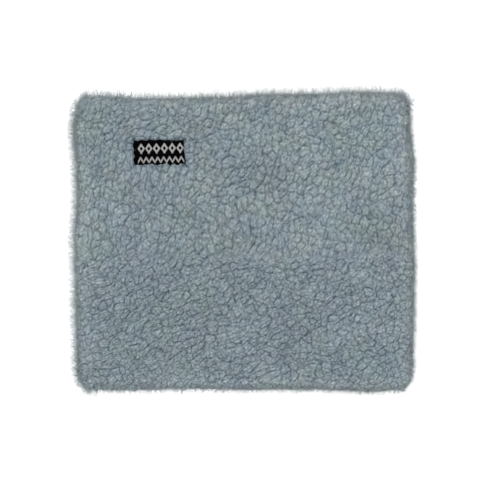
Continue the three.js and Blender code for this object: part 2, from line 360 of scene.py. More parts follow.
def mouth_profile(q):
    """Section through a rolled mouth edge: y, depth, and the outward normal's y and out parts."""
    side, reach = np.sign(q), np.abs(q)
    turned = np.clip((reach - FLAT_Y) / ROLL_RADIUS, 0, math.pi)
    hook = np.clip(reach - FLAT_Y - ROLL_RADIUS * math.pi, 0, None)
    y = side * (np.minimum(reach, FLAT_Y) + ROLL_RADIUS * np.sin(turned) - hook)
    depth = ROLL_RADIUS * (1 - np.cos(turned))
    return y, depth, side * np.sin(turned), np.cos(turned)


def place(s, y, depth, back=False):
    """Point of a wall at distance s along it, position y along the tube and depth under its pile."""
    x, z, nx, nz = wall_path(s)
    z = z - depth * nz
    return np.stack([x - depth * nx, y + 0 * x, THICKNESS - z if back else z], -1)


def bumps_along(position, points):
    """Smooth curve through a few (position, offset) points."""
    at = np.array([p[0] for p in points], float)
    offset = np.array([p[1] for p in points], float)
    k = np.clip(np.searchsorted(at, position) - 1, 0, len(at) - 2)
    t = smooth(0, 1, (position - at[k]) / (at[k + 1] - at[k]))
    return offset[k] + (offset[k + 1] - offset[k]) * t


def round_corners(x, y):
    for (side_x, side_y), radius in CORNER_RADII.items():
        dx = side_x * x - (HALF_WIDTH - radius)
        dy = side_y * y - (HALF_HEIGHT - radius)
        inside = (dx > 0) & (dy > 0)
        dx, dy = np.where(inside, dx, 1), np.where(inside, dy, 1)
        keep = (dx**CORNER_POWER + dy**CORNER_POWER) ** (1 / CORNER_POWER) / np.hypot(dx, dy)
        x = np.where(inside, side_x * (HALF_WIDTH - radius + dx * keep), x)
        y = np.where(inside, side_y * (HALF_HEIGHT - radius + dy * keep), y)
    return x, y


def sag(x, y):
    """How far the front wall sinks towards the back wall."""
    span = np.clip(1 - (x / (FLAT_X + SAG_MARGIN)) ** 2, 0, 1)
    return span * (SAG_DEPTH + waves(x, y, SAG_WAVES))


def drape(points):
    """Takes points of the ideal tube to the lying, slightly uneven one."""
    x, y, z = points[..., 0], points[..., 1], points[..., 2]
    x, y = round_corners(x, y)
    pull_x = np.where(x < 0, -bumps_along(y, LEFT_EDGE), bumps_along(y, RIGHT_EDGE))
    pull_y = np.where(y < 0, -bumps_along(x, BOTTOM_EDGE), bumps_along(x, TOP_EDGE))
    new_x = x + pull_x * smooth(*PULL_ACROSS, np.abs(x))
    new_y = y + pull_y * smooth(*PULL_ALONG, np.abs(y))
    front = smooth(WALL_DEPTH, THICKNESS - WALL_DEPTH, z)
    return np.stack([new_x, new_y, z - front * sag(x, y)], -1)


def above_floor(points):
    """The same points, none of them in the floor."""
    points[..., 2] = np.maximum(points[..., 2], FLOOR_CLEARANCE)
    return points


# ---------------- meshes


def link(obj):
    bpy.context.scene.collection.objects.link(obj)


def new_object(name, vertices, faces, material, body):
    """Mesh object from points in millimetres, riding on a CAD body, or else standing on its own."""
    mesh = bpy.data.meshes.new(name)
    vertices = np.asarray(vertices, float) * MM
    faces = np.asarray(faces, np.int32)
    mesh.vertices.add(len(vertices))
    mesh.vertices.foreach_set("co", vertices.ravel())
    mesh.loops.add(faces.size)
    mesh.loops.foreach_set("vertex_index", faces.ravel())
    mesh.polygons.add(len(faces))
    mesh.polygons.foreach_set("loop_start", np.arange(0, faces.size, faces.shape[1], dtype=np.int32))
    mesh.polygons.foreach_set("use_smooth", np.full(len(faces), True))
    mesh.update(calc_edges=True)
    mesh.materials.append(material)
    obj = bpy.data.objects.new(name, mesh)
    link(obj)
    if isinstance(body, str):
        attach(obj, body)
    else:
        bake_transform(obj)
    return obj


def numbered(rows, columns):
    return np.arange(rows * columns).reshape(rows, columns)


def grid_faces(index, flip=False):
    """Quads between the neighbours in a grid of numbered points."""
    a, b, c, d = index[:-1, :-1], index[:-1, 1:], index[1:, 1:], index[1:, :-1]
    return np.stack((a, d, c, b) if flip else (a, b, c, d), -1).reshape(-1, 4)


def unit(vectors):
    """Vectors of length 1 in the same directions."""
    return vectors / np.maximum(np.linalg.norm(vectors, axis=-1, keepdims=True), 1e-9)


def strip_loop(line, thickness):
    """Outline of a strip of even thickness round a middle line, both in one plane."""
    tangent = unit(np.gradient(line, axis=0))
    normal = np.stack([-tangent[:, 1], tangent[:, 0]], -1) * thickness / 2
    return np.vstack([line + normal, (line - normal)[::-1]])


def closed_sweep(points):
    """Closed mesh from a grid of points: rows go round a strip's outline and columns sweep it."""
    rows, columns = points.shape[:2]
    index = numbered(rows, columns)
    faces = [grid_faces(np.vstack([index, index[:1]]))]
    k = np.arange(rows // 2 - 1)
    partner = rows - 1 - k
    for column, order in ((0, 1), (columns - 1, -1)):
        cap = np.stack([k, k + 1, partner - 1, partner], -1) * columns + column
        faces.append(cap[:, ::order])
    vertices, faces = points.reshape(-1, 3), np.vstack(faces)
    a, b, c, d = (vertices[faces[:, corner]] for corner in range(4))
    volume = (np.cross(b, c) * a).sum() + (np.cross(c, d) * a).sum()
    return vertices, faces if volume > 0 else faces[:, ::-1]


def rings(path, radii, sides, lean):
    """Rings of points round paths, whose last two axes are the points and x, y, z."""
    tangent = unit(np.gradient(path, axis=-2))
    beside = unit(np.cross(tangent, np.array(lean)))
    above = np.cross(beside, tangent)
    around = np.arange(sides) * 2 * math.pi / sides
    across, up = np.cos(around)[:, None], np.sin(around)[:, None]
    ring = across * beside[..., None, :] + up * above[..., None, :]
    return path[..., None, :] + radii[..., None, None] * ring


def unwrap(obj, faces, values):
    """Texture coordinates, in millimetres, with one pair for each vertex."""
    layer = obj.data.uv_layers.new(name="strands")
    layer.data.foreach_set("uv", values[faces.ravel()].astype(np.float32).ravel())


def paint(obj, values):
    """Colour attribute with one value for each vertex."""
    layer = obj.data.color_attributes.new("pile", "FLOAT_COLOR", "POINT")
    layer.data.foreach_set("color", np.ascontiguousarray(values, np.float32).ravel())


def smooth_normals(points, flip):
    """Normals of a grid of points, so that neighbouring pieces shade as one."""
    along_rows = np.gradient(points, axis=0)
    along_columns = np.gradient(points, axis=1)
    normal = unit(np.cross(along_columns, along_rows))
    return -normal if flip else normal


# ---------------- materials


def new_material(name):
    material = bpy.data.materials.new(name)
    material.use_nodes = True
    nodes = material.node_tree.nodes
    shader = nodes["Principled BSDF"]
    return material, nodes, material.node_tree.links, shader


def add(nodes, kind, **values):
    """Shader node with its inputs and settings by name."""
    node = nodes.new("ShaderNode" + kind)
    for key, value in values.items():
        if key in node.inputs:
            node.inputs[key].default_value = value
        else:
            setattr(node, key, value)
    return node


def set_inputs(node, values):
    for name, value in values.items():
        node.inputs[name].default_value = value


def feed(links, sockets, values):
    """Links each socket to an output, or sets it to a value."""
    for socket, value in zip(sockets, values):
        if isinstance(value, bpy.types.NodeSocket):
            links.new(value, socket)
        else:
            socket.default_value = value


def math_node(nodes, links, operation, a, b):
    node = add(nodes, "Math", operation=operation)
    feed(links, node.inputs, (a, b))
    return node.outputs[0]


def mix_colour(nodes, links, factor, a, b, blend="MIX"):
    node = add(nodes, "Mix", data_type="RGBA", blend_type=blend)
    feed(links, (node.inputs[0], node.inputs[6], node.inputs[7]), (factor, a, b))
    return node.outputs[2]


def remap(nodes, links, value, low, high, to_low, to_high):
    node = add(nodes, "MapRange")
    links.new(value, node.inputs["Value"])
    set_inputs(node, {"From Min": low, "From Max": high, "To Min": to_low, "To Max": to_high})
    return node.outputs["Result"]


def add_bump(nodes, links, shader, height, strength, distance):
    bump = add(nodes, "Bump", Strength=strength, Distance=distance)
    links.new(height, bump.inputs["Height"])
    links.new(bump.outputs[0], shader.inputs["Normal"])


def pile_colour(nodes, links, painted):
    """Painted shade: dark between the curls and pale at their tips, in uneven hues, with painted rim
    light on the edges.
    """
    split = add(nodes, "SeparateColor")
    links.new(painted.outputs["Color"], split.inputs[0])
    tip, dye_and_shadow, hue = split.outputs
    # Painted shade: dark in the cracks, pale on the tips.
    ramp = add(nodes, "ValToRGB")
    stops = ramp.color_ramp.elements
    stops[0].position, stops[0].color = 0.0, PILE_CRACK_SHADE
    stops[1].position, stops[1].color = 1.0, PILE_TIP
    middle = stops.new(0.45)
    middle.color = PILE_MIDDLE
    links.new(tip, ramp.inputs[0])
    colour = mix_colour(nodes, links, hue, COOL_HUE, WARM_HUE)
    colour = mix_colour(nodes, links, 1.0, ramp.outputs[0], colour, "MULTIPLY")
    # Painted rim light: the edges are painted paler and greyer.
    rim_lit = mix_colour(nodes, links, 1.0, colour, RIM_LIGHT_TINT, "MULTIPLY")
    colour = mix_colour(nodes, links, painted.outputs["Alpha"], colour, rim_lit)
    solid = add(nodes, "TexCoord")
    tint = add(nodes, "TexNoise", Scale=48.0, Detail=2.0)
    links.new(solid.outputs["Object"], tint.inputs["Vector"])
    tint_level = remap(nodes, links, tint.outputs[0], 0.35, 0.65, 0.0, 1.0)
    tint_colour = mix_colour(nodes, links, tint_level, PINK_TINT, GREEN_TINT)
    return mix_colour(nodes, links, 1.0, colour, tint_colour, "MULTIPLY"), dye_and_shadow


def pile_material():
    """Curly pile, with patches of uneven dyeing, painted shade, painted shadow and painted rim light, and
    fine strands along the curls.
    """
    material, nodes, links, shader = new_material("sherpa_pile")
    set_inputs(shader, {"Roughness": 0.95, "Specular IOR Level": 0.1})
    set_inputs(shader, {"Sheen Weight": 0.2, "Sheen Roughness": 0.6, "Sheen Tint": (0.86, 0.93, 1.0, 1)})
    painted = add(nodes, "VertexColor", layer_name="pile")
    colour, dye_and_shadow = pile_colour(nodes, links, painted)
    strands = add(nodes, "UVMap", uv_map="strands")
    fibre = add(nodes, "TexNoise", Scale=1.1, Detail=3.0, Roughness=0.6, Distortion=0.6)
    links.new(strands.outputs[0], fibre.inputs["Vector"])
    streak = remap(nodes, links, fibre.outputs[0], 0.25, 0.75, 0.82, 1.18)
    # Brightness from uneven dyeing and the painted shadow round the label.
    spread = remap(nodes, links, dye_and_shadow, 0.0, 1.0, 0.8, 1.2)
    gain = math_node(nodes, links, "MULTIPLY", spread, streak)
    scaled = add(nodes, "VectorMath", operation="SCALE")
    links.new(colour, scaled.inputs[0])
    links.new(gain, scaled.inputs["Scale"])
    links.new(scaled.outputs[0], shader.inputs["Base Color"])
    add_bump(nodes, links, shader, fibre.outputs[0], 0.6, 0.0004)
    return material


def shades(colour, dark, light, lift=0.0):
    """A darker and a lighter shade of a colour, with their alpha."""
    darker = tuple(dark * c for c in colour) + (1,)
    lighter = tuple(min(1.0, light * c + lift) for c in colour) + (1,)
    return darker, lighter


def fleece_material(name, colour, scale):
    """Brushed knit: short matte nap with a faint grain."""
    material, nodes, links, shader = new_material(name)
    set_inputs(shader, {"Roughness": 0.92, "Specular IOR Level": 0.15})
    set_inputs(shader, {"Sheen Weight": 0.3, "Sheen Roughness": 0.5})
    solid = add(nodes, "TexCoord")
    nap = add(nodes, "TexNoise", Scale=scale, Detail=4.0, Roughness=0.7)
    links.new(solid.outputs["Object"], nap.inputs["Vector"])
    level = remap(nodes, links, nap.outputs[0], 0.3, 0.7, 0.0, 1.0)
    links.new(mix_colour(nodes, links, level, *shades(colour, 0.72, 1.25)), shader.inputs["Base Color"])
    add_bump(nodes, links, shader, nap.outputs[0], 0.6, 0.0006)
    return material


def woven_material(name, colour, pitch, sheen=0.2, roughness=0.6, specular=0.3):
    """Ribbon weave: warp and weft of the given pitch in millimetres, seen from above."""
    material, nodes, links, shader = new_material(name)
    set_inputs(shader, {"Roughness": roughness, "Specular IOR Level": specular, "Sheen Weight": sheen})
    solid = add(nodes, "TexCoord")
    scale = 0.314 / (pitch * MM)  # a wave texture of scale 1 repeats about every 0.314
    threads = []
    for direction in ("X", "Y"):
        wave = add(nodes, "TexWave", bands_direction=direction, Scale=scale, Distortion=0.4)
        links.new(solid.outputs["Object"], wave.inputs["Vector"])
        threads.append(wave.outputs["Fac"])
    weave = math_node(nodes, links, "MULTIPLY", threads[0], threads[1])
    dyed = mix_colour(nodes, links, weave, *shades(colour, 0.6, 1.25, 0.001))
    links.new(dyed, shader.inputs["Base Color"])
    add_bump(nodes, links, shader, weave, 0.5, 0.0002)
    return material


PILE = pile_material()
BACKING = fleece_material("sherpa_backing_knit", (0.12, 0.15, 0.168), 700.0)
LINING = fleece_material("lining_microfleece", (0.14, 0.172, 0.192), 420.0)
THREAD = woven_material("seam_thread", (0.12, 0.148, 0.168), 0.5, roughness=0.5)
LABEL_BLACK = woven_material(
    "label_black_weave", (0.0011, 0.0011, 0.0013), 0.36, sheen=0.0, specular=0.005
)
LABEL_SILVER = woven_material("label_silver_floats", (0.4, 0.4, 0.39), 0.3, specular=0.1)
SATIN = woven_material("care_label_satin", (0.6, 0.6, 0.585), 0.25, roughness=0.35)

# ---------------- sherpa


def label_cover(x, y):
    """Distance inside the part of the label that the pile at its edges leaves free."""
    lean_right, lean_low = 0.5, 0.9
    dx, dy = x - LABEL_CENTRE[0], y - LABEL_CENTRE[1]
    along = dx * math.cos(LABEL_TILT) + dy * math.sin(LABEL_TILT)
    across = -dx * math.sin(LABEL_TILT) + dy * math.cos(LABEL_TILT)
    beside = np.minimum(LABEL_WIDTH / 2 + along, LABEL_WIDTH / 2 - along - lean_right)
    return np.minimum(beside, np.minimum(LABEL_HEIGHT / 2 - across, LABEL_HEIGHT / 2 + across - lean_low))


def rim_light_share(s, q):
    """Share of painted rim light: 1 on the rolled mouth edges, less on the side folds, and 0 between."""
    side = SIDE_RIM_LIGHT * smooth(FLAT_X - 3, FLAT_X + 9, np.abs(s))
    mouth = smooth(FLAT_Y - 8, FLAT_Y + 2, np.abs(q))
    return np.maximum(side, mouth)


def on_roll(q):
    """1 on the rolled mouth edges and 0 on the flat walls."""
    return smooth(FLAT_Y - 6, FLAT_Y + 2, np.abs(q))


def curl_layer(s, q, seed, layer):
    """One layer of curls: 0 in the cracks and 1 on the crowns, a number for each, and its strands."""
    size_s, size_q, angle, crack_width, crack_depth, own_seed = layer
    turned_s = s * math.cos(angle) + q * math.sin(angle)
    turned_q = -s * math.sin(angle) + q * math.cos(angle)
    cell = (turned_s / size_s, turned_q / size_q, seed + own_seed)
    crown, number, a, b = cells(*cell, crack_width, crack_depth)
    swing = 1.6 * (number - 0.5)
    across = (a * np.cos(swing) + b * np.sin(swing)) * size_s
    along = (-a * np.sin(swing) + b * np.cos(swing)) * size_q
    strands = np.stack([across + 0.22 * along**2 + 61 * number, along / 3.4 + 97 * number], -1)
    return crown, number, strands


def both_layers(s, q, seed, upper, tall_layer, low_layer):
    """Curls that are tall above the cross crease and low below it."""
    tall, tall_number, tall_strands = curl_layer(s, q, seed, tall_layer)
    low, low_number, low_strands = curl_layer(s, q, seed, low_layer)
    strands = np.where((upper > 0.5)[..., None], tall_strands, low_strands)
    return low + (tall - low) * upper, low_number + (tall_number - low_number) * upper, strands


def pile_pattern(s, q, seed):
    """Curls in three sizes with their numbers and strands, the swell, and the place by the crease."""
    pattern = SimpleNamespace()
    pattern.from_crease = q - CREASE_Y - waves(s, s, CREASE_WAVES, seed)
    pattern.upper = smooth(-CREASE_BLEND, CREASE_BLEND, pattern.from_crease)
    pattern.swell = waves(s, q, SWELL_WAVES, seed)
    at = (s + waves(s, q, SWIRL_ACROSS, seed), q + waves(s, q, SWIRL_ALONG, seed), seed, pattern.upper)
    pattern.curl, pattern.number, _ = both_layers(*at, TALL_CURLS, LOW_CURLS)
    pattern.lock, pattern.tint, pattern.strands = both_layers(*at, TALL_LOCKS, LOW_LOCKS)
    pattern.tuft, pattern.tuft_number, _ = both_layers(*at, TALL_TUFTS, LOW_TUFTS)
    return pattern


def pile_height(s, q, seed, pattern):
    """Height of the pile from the CAD surface, before the label presses it down."""
    lock_relief = LOCK_RELIEF - LOCK_RELIEF_LESS * pattern.upper
    crease = np.exp(-((pattern.from_crease / CREASE_WIDTH) ** 2))
    height = -CURL_RELIEF * (1 - pattern.curl) - lock_relief * (1 - pattern.lock)
    height = height + SWELL_RELIEF * pattern.swell - CREASE_RELIEF * crease + PILE_LIFT
    height = height - TUFT_RELIEF * (1 - pattern.tuft) + waves(s, q, FUZZ_WAVES, seed)
    hook_start = FLAT_Y + 0.75 * math.pi * ROLL_RADIUS
    hook = smooth(hook_start, FLAT_Y + math.pi * ROLL_RADIUS, np.abs(q))
    height = height * (1 - HOOK_FLATTENING * hook)
    seam_level = SEAM_LEVEL + SEAM_RISE_ON_ROLL * on_roll(q)
    return seam_level + (height - seam_level) * smooth(0, SEAM_GROOVE, S_END - np.abs(s))


def weighted(weights, **parts):
    """The weights' base value, and each part times its weight."""
    total = weights["base"]
    for name, values in parts.items():
        total = total + weights[name] * values
    return total


def pile_colours(s, q, seed, pattern, shadow):
    """Painted values from 0 to 1: tip, which carries the painted shade, uneven dyeing with the painted
    shadow round the label, hue, and the share of painted rim light on an edge.
    """
    upper, tuft, number = pattern.upper, pattern.tuft, pattern.number
    # Painted shade, low down in the cracks and gaps.
    tip = weighted(
        TIP_WEIGHTS, upper=upper, curl=pattern.curl, lock=pattern.lock, swell=pattern.swell, gap=1 - tuft
    )
    tip = np.clip(tip - LABEL_SHADOW_ON_TIP * shadow, 0, 1)
    # Uneven dyeing, with the painted shadow round the label.
    dye_and_shadow = weighted(
        DYE_AND_SHADOW_WEIGHTS,
        upper=upper - 0.5,
        shade=0.5 * number + 0.5 * pattern.tint - 0.5,
        broad=(2 + upper) * waves(s, q, DYE_WAVES, seed),
        tuft=pattern.tuft_number - 0.5,
        shadow=shadow,
    )
    patch = waves(s, q, HUE_WAVES, seed) * (0.55 + 0.45 * upper)
    hue = weighted(
        HUE_WEIGHTS, upper=upper, patch=patch, number=number - 0.5, tip=tip - 0.7, tuft=tuft - 0.7
    )
    # Painted rim light on the mouth edges and side folds.
    rim_light = PILE_RIM_LIGHT * rim_light_share(s, q)
    return np.clip(np.stack([tip, dye_and_shadow, hue, rim_light], -1), 0, 1)


def pile_field(s, q, seed, with_label):
    """Pile height in millimetres from the CAD surface, painted values, and strand coordinates."""
    pattern = pile_pattern(s, q, seed)
    height = pile_height(s, q, seed, pattern)
    shadow = 0
    if with_label:
        rim = label_cover(s, q) + waves(s, q, LABEL_RIM_WAVES, seed)
        height = height + (LABEL_POCKET - height) * smooth(-0.2, 1.0, rim)
        shadow = smooth(-2.8, 0.2, rim)
    return height, pile_colours(s, q, seed, pattern, shadow), pattern.strands


def pile_points(s, q, height, back):
    y, depth, out_y, out = mouth_profile(q)
    return above_floor(drape(place(s, y + height * out_y, depth - height * out, back)))


def pile_piece(name, points, faces, colours, strands):
    piece = new_object(name, points.reshape(-1, 3), faces, PILE, BEND)
    paint(piece, colours.reshape(-1, 4))
    unwrap(piece, faces, strands.reshape(-1, 2))
    return piece


def make_pile(side):
    """The pile of one wall, as pieces that meet edge to edge."""
    back = side == "back"
    names = [f"{side}_pile_{part}" for part in ("lower", "middle", "upper")]
    columns = int(2 * S_END / PILE_STEP)
    rows = int(2 * Q_END / PILE_STEP)
    s, q = np.meshgrid(np.linspace(-S_END, S_END, columns), np.linspace(-Q_END, Q_END, rows))
    height, colours, strands = pile_field(s, q, PILE_SEEDS[side], not back)
    height[:, [0, -1]] = SEAM_BOTTOM + SEAM_BOTTOM_RISE_ON_ROLL * on_roll(q[:, [0, -1]])
    height[[0, -1], :] = HOOK_END_LEVEL
    points = pile_points(s, q, height, back)
    normals = smooth_normals(points, back)
    cuts = np.linspace(0, rows - 1, len(names) + 1).astype(int)
    pieces = []
    for name, first, last in zip(names, cuts[:-1], cuts[1:]):
        part = slice(first, last + 1)
        faces = grid_faces(numbered(last - first + 1, columns), back)
        piece = pile_piece(name, points[part], faces, colours[part], strands[part])
        piece.data.normals_split_custom_set_from_vertices(normals[part].reshape(-1, 3))
        pieces.append(piece)
    return pieces


def fibre_roots(rng, back):
    """Where fibres stand on a wall: some anywhere, most round the gaiter's outline."""
    side_spread, mouth_spread, count = 6.0, 0.8, FIBRE_COUNT
    s_reach, q_reach = S_END - 2, FLAT_Y + 0.8 * math.pi * ROLL_RADIUS
    s, q = rng.uniform(-s_reach, s_reach, count), rng.uniform(-q_reach, q_reach, count)
    on_rim = rng.uniform(0, 1, count) < RIM_SHARE
    on_side = rng.uniform(0, 1, count) < HALF_HEIGHT / (HALF_WIDTH + HALF_HEIGHT)
    side_s = np.sign(s) * (S_END - 1 - np.abs(rng.normal(0, side_spread, count)))
    turn = 1.95 - np.abs(rng.normal(0, mouth_spread, count))
    mouth_q = np.sign(q) * (FLAT_Y + ROLL_RADIUS * turn)
    s = np.where(on_rim & on_side, side_s, s)
    q = np.where(on_rim & ~on_side, mouth_q, q)
    clear = np.ones(count, bool) if back else label_cover(s, q) < -0.8
    return s[clear], q[clear], on_rim[clear]


def fibre_paths(rng, side, s0, q0, on_rim):
    """Points along each fibre, and the painted values of the pile below it."""
    back, count = side == "back", len(s0)
    heading = rng.uniform(0, 2 * math.pi, count)
    curl = rng.uniform(*FIBRE_CURLS, count) * rng.choice([-1, 1], count)
    length = rng.uniform(*FIBRE_LENGTHS, count)
    lift = rng.uniform(*FIBRE_LIFTS, count)
    loose = np.where((s0 < -FLAT_X) | (q0 > FLAT_Y), LOOSE_RIM, 1.0)
    rise = rng.uniform(*FIBRE_RISES, count)
    rise = rise + on_rim * loose * np.minimum(rng.exponential(RIM_RISE, count), RIM_RISE_LIMIT)
    t = np.linspace(0, 1, FIBRE_POINTS)[None, :]
    angle = heading[:, None] + curl[:, None] * FIBRE_TURN * t
    step = (length / (FIBRE_POINTS - 1))[:, None]
    s = s0[:, None] + np.cumsum(np.cos(angle) * step, 1)
    q = q0[:, None] + np.cumsum(np.sin(angle) * step, 1)
    height, colours, _ = pile_field(s, q, PILE_SEEDS[side], not back)
    ground = 0.45 * height + 0.55 * height.max(1, keepdims=True)
    ground = np.where(on_rim[:, None], np.maximum(ground, 0), ground)
    lying = TUCKED * smooth(*TUCK_TURN, (np.abs(q) - FLAT_Y) / ROLL_RADIUS)
    arch = lift[:, None] * np.sin(math.pi * t) + rise[:, None] * t
    path = pile_points(s, q, ground + (arch * (1 - lying) - FIBRE_SINK), back)
    return path, colours.mean(1)


def fibre_faces(count):
    """Triangles of many tubes with closed ends, stored one after the other."""
    sides, faces = FIBRE_SIDES, []
    for ring in range(FIBRE_POINTS - 1):
        for k in range(sides):
            a, b = ring * sides + k, ring * sides + (k + 1) % sides
            faces += [(a, b, b + sides), (a, b + sides, a + sides)]
    last = (FIBRE_POINTS - 1) * sides
    faces += [(0, k + 1, k) for k in range(1, sides - 1)]
    faces += [(last, last + k, last + k + 1) for k in range(1, sides - 1)]
    one = np.array(faces)
    return (np.arange(count)[:, None, None] * FIBRE_POINTS * sides + one).reshape(-1, 3)


def make_fibres(side):
    """Loose curled fibres that stand off the pile, as thin closed tubes."""
    names = [f"{side}_fibres_{part}" for part in ("lower", "lower_middle", "upper_middle", "upper")]
    rng = np.random.default_rng(PILE_SEEDS[side] + 50)
    s0, q0, on_rim = fibre_roots(rng, side == "back")
    path, colours = fibre_paths(rng, side, s0, q0, on_rim)
    t = np.linspace(0, 1, FIBRE_POINTS)[None, :]
    radii = FIBRE_RADIUS * (0.25 + 0.75 * np.sin(math.pi * (0.15 + 0.8 * t)) ** 0.5)
    vertices = above_floor(rings(path, radii, FIBRE_SIDES, (0.31, 0.17, 0.93)))
    paler = rng.uniform(-0.1, 0.2, len(s0))
    # Fibres carry the pile's painted shade from below them, made lighter, with a random tone of their
    # own.
    colours[:, 0] = np.clip(0.25 + 0.75 * colours[:, 0] + paler, 0, 1)
    # Fibres round the outline get the full painted rim light.
    colours[:, 3] = np.where(on_rim, 1, colours[:, 3])
    pieces = []
    for name, chosen in zip(names, np.array_split(np.argsort(q0), len(names))):
        faces = fibre_faces(len(chosen))
        each = np.repeat(colours[chosen], FIBRE_POINTS * FIBRE_SIDES, axis=0)
        pieces.append(pile_piece(name, vertices[chosen], faces, each, 40 * each[:, 1:3]))
    return pieces


# ---------------- backing knit and lining


def half_to_whole(half_line):
    """Line that is the same on both sides of its first point."""
    half_line = np.array(half_line)
    return np.vstack([half_line[:0:-1] * [-1, 1], half_line])


def backing_line():
    """Middle line of the backing knit along the tube: flat, with a turn round each mouth edge."""
    half = [(y, BACKING_DEPTH) for y in np.linspace(0, BACKING_FLAT, int(BACKING_FLAT / 2.0))]
    for angle in np.linspace(0, math.pi, 9)[1:]:
        y = BACKING_FLAT + BACKING_TURN * math.sin(angle)
        half.append((y, BACKING_DEPTH + BACKING_TURN * (1 - math.cos(angle))))
    for y in np.linspace(BACKING_FLAT, BACKING_FLAT - BACKING_TAIL, 4)[1:]:
        half.append((y, BACKING_DEPTH + 2 * BACKING_TURN))
    return half_to_whole(half)


def lining_line():
    """Middle line of the lining along the tube."""
    ys = np.linspace(0, LINING_HALF_HEIGHT, int(LINING_HALF_HEIGHT / LINING_SPACING))
    return half_to_whole([(y, LINING_MIDDLE) for y in ys])


def make_sheet(name, side, middle_line, thickness, spacing, ripple, material, slot):
    """A sheet that follows one wall from side seam to side seam, as a closed mesh."""
    back = side == "back"
    loop = strip_loop(middle_line, thickness)
    along = np.linspace(-S_END + 0.05, S_END - 0.05, int(2 * S_END / spacing))
    s, k = np.meshgrid(along, np.arange(len(loop)))
    y, depth = loop[k, 0], loop[k, 1]
    outer_side = np.where(k < len(middle_line), 1, -1)
    nap = ripple * (waves(s, y, RIPPLE_WAVES, back) - 0.3 * outer_side)
    points = above_floor(drape(place(s, y, depth + nap, back)))
    vertices, faces = closed_sweep(points)
    return new_object(name, vertices, faces, material, BEND)


def make_backing(side, pile):
    """The knit that carries the pile."""
    name = f"{side}_backing_knit"
    shape = (backing_line(), BACKING_THICKNESS, BACKING_SPACING, BACKING_RIPPLE)
    backing = make_sheet(name, side, *shape, BACKING, "sherpa")
    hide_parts(f"outer_{side}_panel")


def make_lining(side):
    """Brushed lining, laid on the backing knit of its wall."""
    name = f"{side}_lining_fleece"
    thickness = LINING_THICKNESS - LINING_CLEARANCE
    shape = (lining_line(), thickness, LINING_SPACING, LINING_RIPPLE)
    lining = make_sheet(name, side, *shape, LINING, "lining_fleece")
    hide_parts(f"lining_{side}_panel")


for side in ("back", "front"):
    make_backing(side, make_pile(side) + make_fibres(side))
    make_lining(side)

# ---------------- threads


def thread_tube(path, radius, sides=6):
    """Closed tube of quads round a path, with thin ends: its points and faces."""
    path = np.asarray(path, float)
    radii = np.full(len(path), radius)
    radii[[0, -1]] *= THREAD_END_TAPER
    points = rings(path, radii, sides, (0.43, 0.29, 0.85))
    index = numbered(len(path), sides)
    faces = grid_faces(np.hstack([index, index[:, :1]]))
    last = (len(path) - 1) * sides
    first_cap = [(0, 3, 2, 1), (0, 5, 4, 3)]
    last_cap = [(last, last + 1, last + 2, last + 3), (last, last + 3, last + 4, last + 5)]
    return points.reshape(-1, 3), np.vstack([faces, first_cap, last_cap])


def make_threads(name, paths, radius, material, body, node):
    """Stitches or runs of thread as one piece."""
    vertices, faces, count = [], [], 0
    for path in paths:
        points, quads = thread_tube(path, radius)
        vertices.append(points)
        faces.append(quads + count)
        count += len(points)
    piece = new_object(name, np.vstack(vertices), np.vstack(faces), material, body)
    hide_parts(node)


def sew(name, paths, radius, node):
    """Thread along the fabric, standing on its own."""
    make_threads(name, paths, radius, THREAD, BEND, node)


def whip_stitches(side, end):
    """Slanted stitches over the edge between the turned sherpa and the lining, inside a mouth."""
    lift, dip = 0.25, 0.9
    t = np.linspace(-1, 1, 7)
    for s in np.arange(-S_END + 2, S_END - 2, WHIP_PITCH):
        y = end * (STITCH_Y + WHIP_REACH * t)
        depth = WALL_DEPTH + lift - dip * t**4
        yield drape(place(s + WHIP_SLANT * t, y, depth, side == "back"))


def sew_seam(name, node, seam, side, depth, low, high):
    """Thread that winds round the two fabric edges of a side seam."""
    radius, pitch, swing = seam
    turns = (high - low) / pitch
    t = np.linspace(0, 1, int(turns * 10))
    phase = 2 * math.pi * turns * t
    x = side * (HALF_WIDTH - depth - swing * np.sin(phase))
    z = MIDDLE + 0.85 * SEAM_HALF_GAP * np.cos(phase)
    path = drape(np.stack([x, low + (high - low) * t, z], -1))
    sew(name, [path], radius, node)


def make_seam_threads():
    """Threads of the mouths, the side seams and the turning gap."""
    for end, edge in ((1, "top"), (-1, "bottom")):
        for side in ("front", "back"):
            name = f"{edge}_whip_stitches_{side}"
            sew(name, whip_stitches(side, end), WHIP_THREAD, f"{edge}_edge_stitching_{side}")
    lining_seams = {
        "left": (-1, GAP_TOP + THREAD_END_GAP, SEAM_END),
        "left_lower": (-1, -SEAM_END, GAP_BOTTOM - THREAD_END_GAP),
        "right": (1, -SEAM_END, SEAM_END),
    }
    for part, (side, low, high) in lining_seams.items():
        name, node = f"{part}_lining_seam_stitches", f"lining_seam_thread_{part}"
        sew_seam(name, node, LINING_SEAM, side, LINING_MIDDLE, low, high)
    for part, side in (("left", -1), ("right", 1)):
        name, node = f"{part}_outer_seam_stitches", f"side_seam_thread_{part}"
        sew_seam(name, node, OUTER_SEAM, side, BACKING_DEPTH, -SEAM_END, SEAM_END)
    name, node = "turning_gap_hand_stitches", "turning_gap_stitches"
    sew_seam(name, node, HAND_SEAM, -1, LINING_MIDDLE, GAP_BOTTOM, GAP_TOP)


make_seam_threads()

# ---------------- woven label


